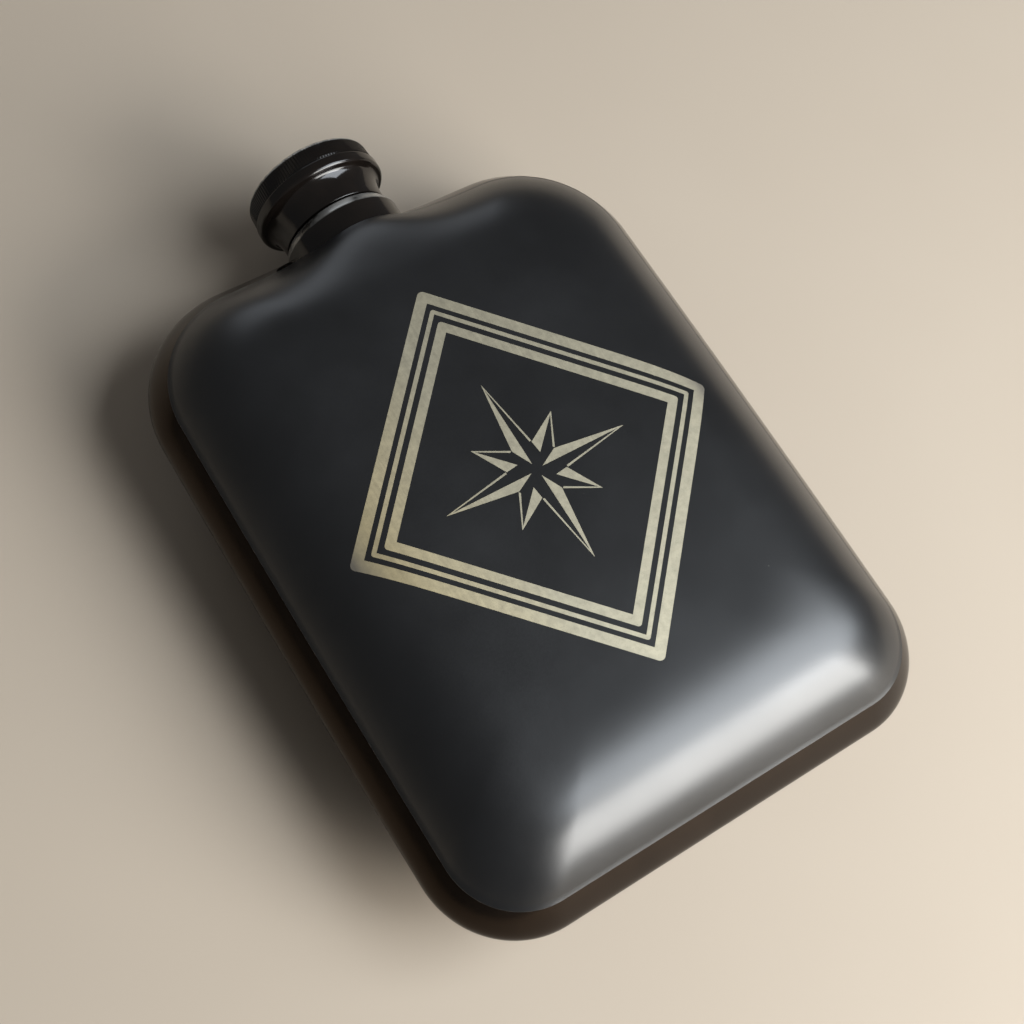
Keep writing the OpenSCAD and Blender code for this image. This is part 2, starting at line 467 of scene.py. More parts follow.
@dataclass(frozen=True)
class TurnedSteel(Finish):
    """Bare steel with fine rings left by turning about the neck."""

    axis_height: float
    light: Triple = (0.56, 0.54, 0.50)
    dark: Triple = (0.36, 0.345, 0.31)
    relief: float = 0.01

    def draw(self, brush: Brush) -> None:
        """Draws the steel.

        Args:
            brush: The material to draw.
        """
        centred = {"Vector": brush.place, "Location": (0.0, 0.0, -self.axis_height * MM)}
        brush.place = brush.canvas.add("ShaderNodeMapping", {}, centred).outputs[0]
        rings = brush.noise(0.3, 2.0, (0.05, 1.0, 0.05))
        stain = brush.noise(4.0, 3.0)
        colour = brush.canvas.mix_colour(rings.ramp(0.3, 0.7), self.dark, self.light)
        brush.paint("Base Color", colour)
        brush.paint("Metallic", 1.0)
        brush.paint("Roughness", rings * 0.16 + stain * 0.14 + 0.16)
        brush.bump(rings, self.relief)


@dataclass(frozen=True)
class Silicone(Finish):
    """Milky moulded silicone."""

    pale: Triple = (0.62, 0.60, 0.54)
    shade: Triple = (0.50, 0.48, 0.42)
    relief: float = 0.01

    def draw(self, brush: Brush) -> None:
        """Draws the silicone.

        Args:
            brush: The material to draw.
        """
        cloud = brush.noise(2.5, 3.0)
        colour = brush.canvas.mix_colour(cloud.ramp(0.3, 0.7), self.shade, self.pale)
        brush.paint("Base Color", colour)
        brush.paint("Roughness", cloud * 0.15 + 0.42)
        brush.bump(brush.noise(0.2, 1.0), self.relief)


@dataclass(frozen=True)
class StudioFloor(Finish):
    """Plain pale table, barely mottled."""

    colour: Triple = (0.37, 0.31, 0.245)
    mottle: Triple = (0.395, 0.335, 0.268)
    cloud_pitch: float = 60.0
    roughness: float = 0.75

    def draw(self, brush: Brush) -> None:
        """Draws the table.

        Args:
            brush: The material to draw.
        """
        colour = brush.canvas.mix_colour(brush.noise(self.cloud_pitch), self.colour, self.mottle)
        brush.paint("Base Color", colour)
        brush.paint("Roughness", self.roughness)


# ---------------------------------------------------------------- meshes


def linked(name: str, data: Any) -> bpy.types.Object:
    """Makes an object of that data and links it to the scene."""
    made = bpy.data.objects.new(name, data)
    bpy.context.scene.collection.objects.link(made)
    return made


def new_object(name: str, points: Iterable[Sequence[float]],
               faces: Sequence[Sequence[int]]) -> bpy.types.Object:
    """Makes a mesh object at the origin.

    Args:
        name: The object's name.
        points: Vertices in millimetres.
        faces: Vertex numbers of each face.

    Returns:
        The object, linked to the scene.
    """
    mesh = bpy.data.meshes.new(name)
    mesh.from_pydata([Vector(p) * MM for p in points], [], faces)
    mesh.validate()
    return linked(name, mesh)


def quads(rows: int, columns: int, start: int = 0, around: bool = True,
          over: bool = False) -> list[list[int]]:
    """The faces of a net whose vertices are numbered row by row.

    Args:
        rows: How many rows it has.
        columns: The vertices in each row.
        start: The first vertex's number.
        around: Whether each row closes on itself.
        over: Whether the last row joins the first.

    Returns:
        The vertex numbers of each face.
    """
    nets = []
    for row in range(rows if over else rows - 1):
        here, there = start + row * columns, start + (row + 1) % rows * columns
        for i in range(columns if around else columns - 1):
            k = (i + 1) % columns
            nets.append([here + i, here + k, there + k, there + i])
    return nets


def settle(piece: bpy.types.Object, weld: float = 0.0, crease_deg: float = 32.0) -> None:
    """Closes seams, turns the faces outwards and shades smoothly between creases.

    Args:
        piece: The mesh object.
        weld: Vertices nearer than this, in millimetres, are merged.
        crease_deg: Edges sharper than this stay sharp.
    """
    work = bmesh.new()
    work.from_mesh(piece.data)
    if weld > 0:
        bmesh.ops.remove_doubles(work, verts=work.verts, dist=weld * MM)
    bmesh.ops.dissolve_degenerate(work, dist=1e-8, edges=work.edges)
    bmesh.ops.recalc_face_normals(work, faces=work.faces)
    work.to_mesh(piece.data)
    work.free()
    piece.data.shade_smooth()
    piece.data.set_sharp_from_angle(angle=math.radians(crease_deg))


def bake_modifiers(piece: bpy.types.Object) -> None:
    """Turns what a piece's modifiers make into its plain mesh, and removes them.

    Args:
        piece: The object to bake.
    """
    graph = bpy.context.evaluated_depsgraph_get()
    graph.update()
    made = bpy.data.meshes.new_from_object(piece.evaluated_get(graph), depsgraph=graph)
    made.name = piece.name
    piece.modifiers.clear()
    piece.data = made


def dress(piece: bpy.types.Object, finish: Finish) -> None:
    """Gives a piece one finish all over."""
    piece.data.materials.clear()
    piece.data.materials.append(finish.material())


def hand_over(piece: bpy.types.Object, body: Rides, slot: Slot, *nodes: str) -> None:
    """Hands a finished piece to the frame.

    Args:
        piece: The object.
        body: The CAD body that it rides on.
        slot: The record's material slot. Not used.
        nodes: The CAD nodes that it stands for.
    """
    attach(piece, body.value)
    if nodes:
        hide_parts(*nodes)
    log.info("%s: %d faces on %s", piece.name, len(piece.data.polygons), body.value)


def rounded(corners: Sequence[Triple], steps: int = 6) -> list[Point]:
    """A closed outline whose corners are arcs.

    Args:
        corners: (x, y, radius) of each corner, where radius 0 leaves it sharp.
        steps: Facets of each arc.

    Returns:
        The outline's points.
    """
    line: list[Point] = []
    for k, (x, y, radius) in enumerate(corners):
        here = np.array([x, y])
        before = np.array(corners[k - 1][:2]) - here
        after = np.array(corners[(k + 1) % len(corners)][:2]) - here
        before, after = before / np.linalg.norm(before), after / np.linalg.norm(after)
        half = math.acos(max(-1.0, min(1.0, float(before @ after)))) / 2
        if radius <= 0 or half > math.radians(89.5):
            line.append((x, y))
            continue
        middle = (before + after) / np.linalg.norm(before + after)
        centre = here + middle * radius / math.sin(half)
        start = here + before * radius / math.tan(half) - centre
        end = here + after * radius / math.tan(half) - centre
        turn = math.atan2(start[0] * end[1] - start[1] * end[0], float(start @ end))
        for i in range(steps + 1):
            a = turn * i / steps
            c, s = math.cos(a), math.sin(a)
            line.append((centre[0] + c * start[0] - s * start[1],
                         centre[1] + s * start[0] + c * start[1]))
    return line


def sweep(centre: Point, size: Point, start: float, end: float, steps: int) -> list[Triple]:
    """Points of an elliptical arc, as sharp corners of an outline.

    Args:
        centre: The ellipse's centre.
        size: Its two radii.
        start: The first angle in degrees.
        end: The last angle in degrees.
        steps: Facets between them.

    Returns:
        (x, y, 0) of each point.
    """
    angles = [math.radians(start + (end - start) * k / steps) for k in range(steps + 1)]
    return [(centre[0] + size[0] * math.cos(a), centre[1] + size[1] * math.sin(a), 0.0)
            for a in angles]


# ---------------------------------------------------------------- geometry trees


class GeometryTree:
    """A geometry node tree with named inputs, which ends in Realize Instances and Set Material."""

    def __init__(self, name: str, **kinds: str) -> None:
        """Starts a tree.

        Args:
            name: The tree's name.
            kinds: The names of the inputs of each kind, with spaces between them.
        """
        self.tree = bpy.data.node_groups.new(name, "GeometryNodeTree")
        self.canvas = Canvas(self.tree)
        self.names: dict[str, str] = {}
        sockets = self.tree.interface
        for way in ("INPUT", "OUTPUT"):
            sockets.new_socket("Geometry", in_out=way, socket_type="NodeSocketGeometry")
        for kind, names in {**kinds, "Material": "Finish"}.items():
            for word in names.split():
                made = sockets.new_socket(word, in_out="INPUT", socket_type=f"NodeSocket{kind}")
                self.names[word] = made.identifier
        self.entry = self.canvas.add("NodeGroupInput")
        self.geometry = self.entry.outputs["Geometry"]

    def read(self, names: str) -> list[Signal]:
        """The inputs of those names, which have spaces between them."""
        return [Signal(self.canvas, self.entry.outputs[word]) for word in names.split()]

    def sheet(self, columns: Any, steps: Signal) -> tuple[Any, Signal, Signal]:
        """A flat grid, to be wrapped into shape.

        Args:
            columns: How many vertices it has along X.
            steps: How many cells it has along Y.

        Returns:
            The grid, each vertex's column, and its share of the way along Y.
        """
        inputs = {"Size X": 1.0, "Size Y": 1.0, "Vertices X": columns, "Vertices Y": steps + 1}
        grid = self.canvas.add("GeometryNodeMeshGrid", {}, inputs)
        index = self.canvas.signal("GeometryNodeInputIndex", {}, {})
        return grid.outputs[0], (index / (steps + 1)).floor(), (index % (steps + 1)) / steps

    def move(self, geometry: Any, place: Any) -> Any:
        """Geometry with its vertices set in new places."""
        inputs = {"Geometry": geometry, "Position": place}
        return self.canvas.add("GeometryNodeSetPosition", {}, inputs).outputs[0]

    def close(self, geometry: Any) -> None:
        """Ends the tree.

        Args:
            geometry: The socket of the finished geometry.
        """
        real = self.canvas.add("GeometryNodeRealizeInstances", {}, {"Geometry": geometry})
        painted = self.canvas.add("GeometryNodeSetMaterial", {}, {
            "Geometry": real.outputs[0], "Material": self.entry.outputs["Finish"]})
        self.canvas.add("NodeGroupOutput", {}, {0: painted.outputs[0]})

    def run(self, piece: bpy.types.Object, **values: Any) -> None:
        """Runs the tree on a piece and keeps the result as its mesh.

        Args:
            piece: The object.
            values: Each input's value.
        """
        modifier = piece.modifiers.new(self.tree.name, "NODES")
        modifier.node_group = self.tree
        for name, value in values.items():
            modifier[self.names[name]] = value
        bake_modifiers(piece)


class Lathe(GeometryTree):
    """Turns a closed outline, whose points are (radius, rise, 0), about the neck."""

    def __init__(self) -> None:
        """Draws the tree."""
        super().__init__("turned_on_the_neck", Int="Points Steps", Float="Base Height")
        canvas = self.canvas
        points, steps, base, height = self.read("Points Steps Base Height")
        grid, row, share = self.sheet(points + 1, steps)
        turn = share * FULL_TURN
        position = canvas.add("GeometryNodeInputPosition").outputs[0]
        kind = {"data_type": "FLOAT_VECTOR", "domain": "POINT"}
        sample = canvas.add("GeometryNodeSampleIndex", kind, {
            "Geometry": self.geometry, "Value": position, "Index": row % points})
        radius, rise, _ = canvas.split(sample.outputs[0])
        place = canvas.vector(radius * turn.cos(), rise + base, radius * turn.sin() + height)
        self.close(self.move(grid, place))


class ThreadCutter(GeometryTree):
    """Adds a ridge that climbs a right-hand helix on the neck and fades out at both ends."""

    SIDES = 5
    FADE = 9.0

    def __init__(self) -> None:
        """Draws the tree."""
        sizes = "Root Crest Start Lead Turns Foot Tip Height"
        super().__init__("thread_on_the_neck", Float=sizes, Int="Steps")
        root, crest, start, lead, turns, foot, tip, height, steps = self.read(sizes + " Steps")
        grid, row, along = self.sheet(self.SIDES, steps)
        side = row % (self.SIDES - 1)
        fade = (along * self.FADE).least((1.0 - along) * self.FADE).clamped()
        outer = side.above(0.5) * (1.0 - side.above(2.5))
        upper = side.above(1.5) * 2.0 - 1.0
        radius = root + (crest - root) * outer * fade
        half = (foot + (tip - foot) * outer) * 0.5 * fade
        turn = along * turns * FULL_TURN
        climb = start + along * turns * lead + upper * half
        # A right-hand helix about +Y turns from +Z towards +X as it climbs.
        place = self.canvas.vector(radius * turn.sin(), climb, radius * turn.cos() + height)
        self.close(self.move(grid, place))


class GripRing(GeometryTree):
    """Stands copies of one tooth round the neck."""

    def __init__(self) -> None:
        """Draws the tree."""
        super().__init__("teeth_round_the_cap", Int="Teeth", Float="Radius Base Height")
        canvas = self.canvas
        count, radius, base, height = self.read("Teeth Radius Base Height")
        ring = canvas.add("GeometryNodeMeshCircle", {"fill_type": "NONE"},
                          {"Vertices": count, "Radius": radius})
        turn = canvas.signal("GeometryNodeInputIndex", {}, {}) / count * FULL_TURN
        teeth = canvas.add("GeometryNodeInstanceOnPoints", {}, {
            "Points": ring.outputs[0], "Instance": self.geometry,
            "Rotation": canvas.vector(0.0, 0.0, turn)})
        stood = canvas.add("GeometryNodeTransform", {}, {
            "Geometry": teeth.outputs[0], "Rotation": (-math.pi / 2, 0.0, 0.0),
            "Translation": canvas.vector(0.0, base, height)})
        self.close(stood.outputs[0])


class SurfaceMark(GeometryTree):
    """Lays a flat pattern on the face below it and gives it a thin, closed body."""

    DOWN = (0.0, 0.0, -1.0)

    def __init__(self) -> None:
        """Draws the tree."""
        super().__init__("mark_on_the_face", Object="Face", Float="Proud Depth Start")
        canvas = self.canvas
        face, proud, depth, start = self.read("Face Proud Depth Start")
        target = canvas.add("GeometryNodeObjectInfo", {}, {"Object": face})
        across, along, _ = canvas.split(canvas.add("GeometryNodeInputPosition").outputs[0])
        ray = canvas.add("GeometryNodeRaycast", {}, {
            "Target Geometry": target.outputs["Geometry"], "Ray Direction": self.DOWN,
            "Source Position": canvas.vector(across, along, start), "Ray Length": 1.0})
        place = canvas.add("ShaderNodeVectorMath", {"operation": "ADD"}, {
            0: ray.outputs["Hit Position"], 1: canvas.vector(0.0, 0.0, proud)})
        top = self.move(self.geometry, place.outputs[0])
        # Extrude Mesh leaves its offset aside and follows the normals unless the offset is linked.
        under = canvas.add("GeometryNodeExtrudeMesh", {"mode": "FACES"}, {
            "Mesh": top, "Offset": canvas.vector(*self.DOWN), "Offset Scale": depth,
            "Individual": False})
        both = canvas.add("GeometryNodeJoinGeometry")
        for part in (top, under.outputs[0]):
            canvas.tree.links.new(part, both.inputs[0])
        self.close(both.outputs[0])


# ---------------------------------------------------------------- the pressed body


@dataclass
class PressedBody:
    """The two satin faces and the gloss side wall between them."""

    shoulder_radius: float = 20.5
    bottom_radius: float = 15.5
    land_radius: float = 7.0
    side_bow: float = 0.5
    sheet: float = 0.8
    roll_width: float = 22.0
    roll_power: float = 3.4
    boss: float = 0.7
    boss_pull: float = 0.6
    boss_reach: float = 11.0
    boss_fade: float = 4.0
    boss_width: float = 9.0
    wall_fold: float = 2.5
    hem: float = 0.16
    corner_steps: int = 30
    top_steps: int = 64
    side_steps: int = 40
    satin: SatinCoat = field(default_factory=lambda: SatinCoat("satin_powder_coat"))
    # The side wall's brown reflection tint is a painted brown reflection, as of a wooden table, on
    # black enamel.
    gloss: GlossEnamel = field(default_factory=lambda: GlossEnamel(
        "gloss_side_enamel", ior=1.33, reflection_tint=(1.0, 0.66, 0.40)))

    def __post_init__(self) -> None:
        """Reads the body's main sizes from the frame."""
        low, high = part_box("side_band")
        face_low, face_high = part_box("front_shell")
        self.half_width = high.x / MM
        self.half_length = -low.y / MM
        self.thickness = face_high.z / MM
        self.middle = (low.z + high.z) / 2 / MM
        self.crease_rise = face_low.z / MM - self.middle
        self.bulge = (high.x - face_high.x) / MM
        self.face_rise = self.thickness - self.middle - self.crease_rise

    def corner_radius(self, outer: float, inset: float) -> float:
        """A corner's radius, which shrinks to the land's as the ring moves in.

        Args:
            outer: The radius at the widest outline.
            inset: How far in the ring is.

        Returns:
            The radius.
        """
        share = min(1.0, max(0.0, (inset - self.bulge) / self.roll_width))
        return outer - min(inset, self.bulge) - (outer - self.bulge - self.land_radius) * share

    def outline(self, inset: float) -> np.ndarray:
        """The body's outline, moved inwards.

        Args:
            inset: How far in from the widest outline.

        Returns:
            Points (x, y), anticlockwise from above.
        """
        wide, long = self.half_width - inset, self.half_length - inset
        top = self.corner_radius(self.shoulder_radius, inset)
        base = self.corner_radius(self.bottom_radius, inset)
        corners = [(wide - top, long - top, top), (top - wide, long - top, top),
                   (base - wide, base - long, base), (wide - base, base - long, base)]
        sides = [self.top_steps, self.side_steps, self.side_steps, self.side_steps]
        line: list[np.ndarray] = []
        for k, (x, y, radius) in enumerate(corners):
            for i in range(self.corner_steps + 1):
                angle = math.radians(90 * k + 90 * i / self.corner_steps)
                line.append(np.array([x + radius * math.cos(angle), y + radius * math.sin(angle)]))
            x2, y2, radius2 = corners[(k + 1) % 4]
            start = line[-1]
            angle = math.radians(90 * (k + 1))
            end = np.array([x2 + radius2 * math.cos(angle), y2 + radius2 * math.sin(angle)])
            line += [start + (end - start) * i / sides[k] for i in range(1, sides[k])]
        return np.array(line)

    def ring(self, inset: float, height: float) -> np.ndarray:
        """One ring of the pressing, bowed at the sides and drawn up to the neck.

        Args:
            inset: How far in from the widest outline.
            height: The ring's height over the table.

        Returns:
            Points (x, y, z).
        """
        flat = self.outline(inset)
        x, y = flat[:, 0], flat[:, 1]
        bowed = x * (1 - self.side_bow / self.half_width * (y / self.half_length) ** 2)
        fade = math.exp(-((inset / self.boss_reach) ** self.boss_fade))
        pull = self.boss + self.boss_pull * inset * fade
        share = np.where(y > 0, np.abs(y / (self.half_length - inset)) ** 8, 0.0)
        lifted = y + pull * np.exp(-((x / self.boss_width) ** 2)) * share
        return np.column_stack([bowed, lifted, np.full(len(x), height)])

    def roll(self, share: float, depth: float = 0.0) -> Point:
        """A point on a face's rounded border, as (inset, height).

        Args:
            share: 0 at the crease and 1 at the flat land.
            depth: How far the point lies under the outer skin, measured square to it.

        Returns:
            The point.
        """
        fall = 1 - share
        rise = self.face_rise * (1 - fall ** self.roll_power)
        slope = self.face_rise * self.roll_power / self.roll_width * fall ** (self.roll_power - 1)
        unit = math.hypot(1.0, slope)
        return (self.bulge + self.roll_width * share + depth * slope / unit,
                self.middle + self.crease_rise + rise - depth / unit)

    def face_profile(self) -> list[Point]:
        """A face's section from the inner land, round the hemmed edge, to the outer land.

        Returns:
            Points (inset, height).
        """
        shares = [(k / 44) ** 1.25 for k in range(45)]
        inner = [self.roll(s, self.sheet) for s in reversed(shares[4::4])]
        crease = self.middle + self.crease_rise
        hem = [(self.bulge + self.sheet * 1.2, crease),
               (self.bulge + self.hem * 1.6, crease),
               (self.bulge + self.hem * 0.6, crease + self.hem * 0.15),
               (self.bulge, crease + self.hem * 0.7),
               (self.bulge + self.hem * 0.1, crease + self.hem * 1.5)]
        outer = [self.roll(s) for s in shares if self.roll(s)[1] > crease + self.hem * 2.2]
        return inner + hem + outer

    def wall_profile(self) -> list[Point]:
        """The side wall's closed section: a V with a rounded fold outside, and the same inside.

        Returns:
            Points (inset, height).
        """
        def fold(share: float) -> float:
            """How far the wall has come back from its crown at a share of the way to a crease."""
            return math.hypot(1.0, self.wall_fold * share) - 1.0

        def flank(crown: float, reach: float, steps: int) -> list[Point]:
            """The section from the lower to the upper crease."""
            shares = [2 * k / steps - 1 for k in range(steps + 1)]
            return [(crown + reach * fold(u) / fold(1.0), self.middle + self.crease_rise * u)
                    for u in shares]

        inner = flank(self.sheet, self.bulge + self.sheet * 0.2, 12)
        return flank(0.0, self.bulge, 40) + inner[::-1]

    def loft(self, name: str, profile: list[Point], closed: bool) -> bpy.types.Object:
        """Stacks rings into a solid.

        Args:
            name: The piece's name.
            profile: (inset, height) of each ring.
            closed: True for a hoop. Otherwise both ends are filled with flat lands.

        Returns:
            The object.
        """
        rings = [self.ring(inset, height) for inset, height in profile]
        if not closed:
            shrink = (0.8, 0.6, 0.4, 0.2)
            first = [rings[0] * (s, s, 1.0) for s in reversed(shrink)]
            last = [rings[-1] * (s, s, 1.0) for s in shrink]
            rings = first + rings + last
        count, total = len(rings[0]), len(rings)
        points = np.vstack(rings)
        faces = quads(total, count, over=closed)
        if not closed:
            ends = [(0, rings[0]), ((total - 1) * count, rings[-1])]
            points = np.vstack([points] + [ring.mean(axis=0) for _, ring in ends])
            for hub, (start, _) in enumerate(ends):
                middle = total * count + hub
                faces += [[start + i, start + (i + 1) % count, middle] for i in range(count)]
        return new_object(name, points, faces)

    def drill(self, piece: bpy.types.Object, cutter: bpy.types.Object) -> None:
        """Cuts the neck hole.

        Args:
            piece: A face or the side wall.
            cutter: A plug of the collar's size.
        """
        cut = piece.modifiers.new("neck_hole", "BOOLEAN")
        cut.operation, cut.object, cut.solver = "DIFFERENCE", cutter, "EXACT"
        bake_modifiers(piece)

    def build(self, cutter: bpy.types.Object) -> bpy.types.Object:
        """Builds the faces and the wall.

        Args:
            cutter: A plug of the collar's size.

        Returns:
            The front face, which the marks are laid on.
        """
        profile = self.face_profile()
        turned = [(inset, 2 * self.middle - height) for inset, height in profile]
        front = self.loft("front_face", profile, closed=False)
        back = self.loft("back_face", turned, closed=False)
        wall = self.loft("side_wall", self.wall_profile(), closed=True)
        parts = [(front, self.satin, Slot.SATIN_BLACK, "front_shell"),
                 (back, self.satin, Slot.SATIN_BLACK, "back_shell"),
                 (wall, self.gloss, Slot.GLOSS_BLACK, "side_band")]
        for piece, finish, slot, node in parts:
            settle(piece, weld=0.001)
            self.drill(piece, cutter)
            settle(piece, weld=0.001, crease_deg=38.0)
            dress(piece, finish)
            hand_over(piece, Rides.FLASK, slot, node)
        return front


# ---------------------------------------------------------------- the marks


@dataclass
class FaceMarks:
    """A triple-line diamond and a compass star, cut through the coat to bare metal."""

    body: PressedBody
    half_long: float = 35.15
    half_wide: float = 32.8
    centre_y: float = 1.5
    bands: tuple[Triple, ...] = (
        (1.0, 0.925, 0.9), (0.891, 0.862, 0.45), (0.824, 0.759, 0.55))
    star_long: float = 16.2
    star_short: float = 10.4
    star_waist: float = 4.9
    star_hub: float = 1.1
    star_gap: float = 0.14
    star_line: float = 0.34
    star_cells: int = 20
    proud: float = 0.018
    depth: float = 0.10
    cell: float = 0.7

    def diamond(self, share: float, radius: float, steps: int) -> list[Point]:
        """A diamond's outline.

        Args:
            share: Its size as a share of the outer one.
            radius: The radius of its corners.
            steps: Facets along each side.

        Returns:
            Points, anticlockwise.
        """
        tips = [(self.half_wide * share, 0.0), (0.0, self.half_long * share),
                (-self.half_wide * share, 0.0), (0.0, -self.half_long * share)]
        line = rounded([(x, y + self.centre_y, radius) for x, y in tips], steps=5)
        run = len(line) // 4
        filled: list[Point] = []
        for k, (x, y) in enumerate(line):
            filled.append((x, y))
            if k % run == run - 1:
                x2, y2 = line[(k + 1) % len(line)]
                filled += [(x + (x2 - x) * i / steps, y + (y2 - y) * i / steps)
                           for i in range(1, steps)]
        return filled

    def border(self) -> bpy.types.Object:
        """The three nested bands, flat.

        Returns:
            The object.
        """
        points: list[Triple] = []
        faces: list[list[int]] = []
        for outer, inner, radius in self.bands:
            steps = round(math.hypot(self.half_wide, self.half_long) * outer / self.cell)
            lines = [self.diamond(outer, radius, steps), self.diamond(inner, 0.04, steps)]
            across = max(2, round((outer - inner) * 24 / self.cell))
            count, start = len(lines[0]), len(points)
            for row in range(across + 1):
                share = row / across
                points += [(a[0] + (b[0] - a[0]) * share, a[1] + (b[1] - a[1]) * share, 0.0)
                           for a, b in zip(*lines)]
            faces += quads(across + 1, count, start)
        return new_object("diamond_border", points, faces)

    @staticmethod
    def patch(corners: Sequence[np.ndarray], across: int, along: int) -> list[Triple]:
        """The points of a four-cornered patch, row by row.

        Args:
            corners: The start and end of one long side, then the start and end of the other.
            across: Cells between the long sides.
            along: Cells along them.

        Returns:
            The points.
        """
        points: list[Triple] = []
        for row in range(across + 1):
            start = corners[0] + (corners[2] - corners[0]) * row / across
            end = corners[1] + (corners[3] - corners[1]) * row / across
            points += [(*(start + (end - start) * k / along), 0.0) for k in range(along + 1)]
        return points

    def star(self) -> bpy.types.Object:
        """A compass star of eight points, each solid on one side and drawn in outline on the other.

        Returns:
            The object.
        """
        points: list[Any] = []
        faces: list[list[int]] = []
        for k in range(8):
            major = k % 2 == 0
            reach = self.star_long if major else self.star_short
            aim = math.radians(45 * k)
            forward = np.array([math.cos(aim), math.sin(aim)])
            left = np.array([-forward[1], forward[0]])
            notch = math.radians(22.5)
            shoulder = forward * math.cos(notch) + left * math.sin(notch)
            mirror = forward * math.cos(notch) - left * math.sin(notch)
            root = self.star_hub if major else self.star_waist * 0.62
            tip = forward * reach
            half = [forward * root + left * self.star_gap, tip, shoulder * self.star_waist * 0.96,
                    tip + left * 0.04]
            inset = forward * (self.star_line * reach / self.star_waist) * 0.9
            waist = mirror * self.star_waist
            rim = [waist, tip, waist + left * self.star_line, tip - inset]
            for corners, across in ((half, 8), (rim, 2)):
                faces += quads(across + 1, self.star_cells + 1, len(points), around=False)
                made = self.patch(corners, across, self.star_cells)
                points += [(x, y + self.centre_y, z) for x, y, z in made]
        return new_object("compass_star", points, faces)

    def build(self, face: bpy.types.Object) -> None:
        """Lays the marks on the face.

        Args:
            face: The front face.
        """
        tree = SurfaceMark()
        metal = MarkedSteel("laser_marked_steel", face_top=self.body.thickness, face_edge=1.3)
        for piece in (self.border(), self.star()):
            tree.run(piece, Face=face, Proud=self.proud * MM, Depth=self.depth * MM,
                     Start=(self.body.thickness + 20) * MM, Finish=metal.material())
            settle(piece, weld=0.0005, crease_deg=45.0)
            hand_over(piece, Rides.FLASK, Slot.BARE_STEEL)


# ---------------------------------------------------------------- neck and cap


@dataclass
class NeckAxis:
    """Where the neck stands, and what is turned or threaded on it."""

    steps: int = 160
    thread_steps: int = 140
    thread_foot: float = 1.0
    thread_tip: float = 0.5

    def __post_init__(self) -> None:
        """Reads the axis from the frame and draws the shared trees."""
        low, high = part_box("neck_collar")
        self.height = (low.z + high.z) / 2 / MM
        self.base = -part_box("side_band")[0].y / MM
        self.collar_radius = high.x / MM
        self.lathe = Lathe()
        self.threader = ThreadCutter()

    def rise_of(self, node: str) -> Point:
        """A node's lowest and highest rise above the body's top edge."""
        low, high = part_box(node)
        return low.y / MM - self.base, high.y / MM - self.base

    def turned(self, name: str, corners: Sequence[Triple], finish: Finish,
               arc_steps: int = 6) -> bpy.types.Object:
        """Turns a section about the neck.

        Args:
            name: The piece's name.
            corners: (radius, rise, corner radius) round the section.
            finish: The piece's finish.
            arc_steps: Facets of each rounded corner.

        Returns:
            The object.
        """
        section = rounded(corners, arc_steps)
        piece = new_object(name, [(r, h, 0.0) for r, h in section], [])
        self.lathe.run(piece, Points=len(section), Steps=self.steps, Base=self.base * MM,
                       Height=self.height * MM, Finish=finish.material())
        settle(piece, weld=0.002)
        return piece

    def threaded(self, name: str, root: float, crest: float, ends: Point, shift: float, lead: float,
                 finish: Finish) -> bpy.types.Object:
        """Makes a thread's ridge.

        Args:
            name: The ridge's name.
            root: Its radius at the foot.
            crest: Its radius at the crest.
            ends: The rise at which it starts and stops.
            shift: How far it is moved along the neck.
            lead: The climb in one turn.
            finish: Its finish.

        Returns:
            The object.
        """
        ridge = new_object(name, [(0.0, 0.0, 0.0)], [])
        start = self.base + ends[0] + shift
        self.threader.run(
            ridge, Root=root * MM, Crest=crest * MM, Start=start * MM, Lead=lead * MM,
            Turns=(ends[1] - ends[0]) / lead, Foot=self.thread_foot * MM, Tip=self.thread_tip * MM,
            Height=self.height * MM, Steps=self.thread_steps, Finish=finish.material())
        settle(ridge, weld=0.0005)
        return ridge


def joined(name: str, *parts: bpy.types.Object) -> bpy.types.Object:
    """Joins meshes into the first one.

    Args:
        name: The result's name.
        parts: The objects, the first of which is kept.

    Returns:
        The first object.
    """
    work = bmesh.new()
    for part in parts:
        work.from_mesh(part.data)
    work.to_mesh(parts[0].data)
    work.free()
    for part in parts[1:]:
        bpy.data.objects.remove(part)
    parts[0].name = name
    return parts[0]


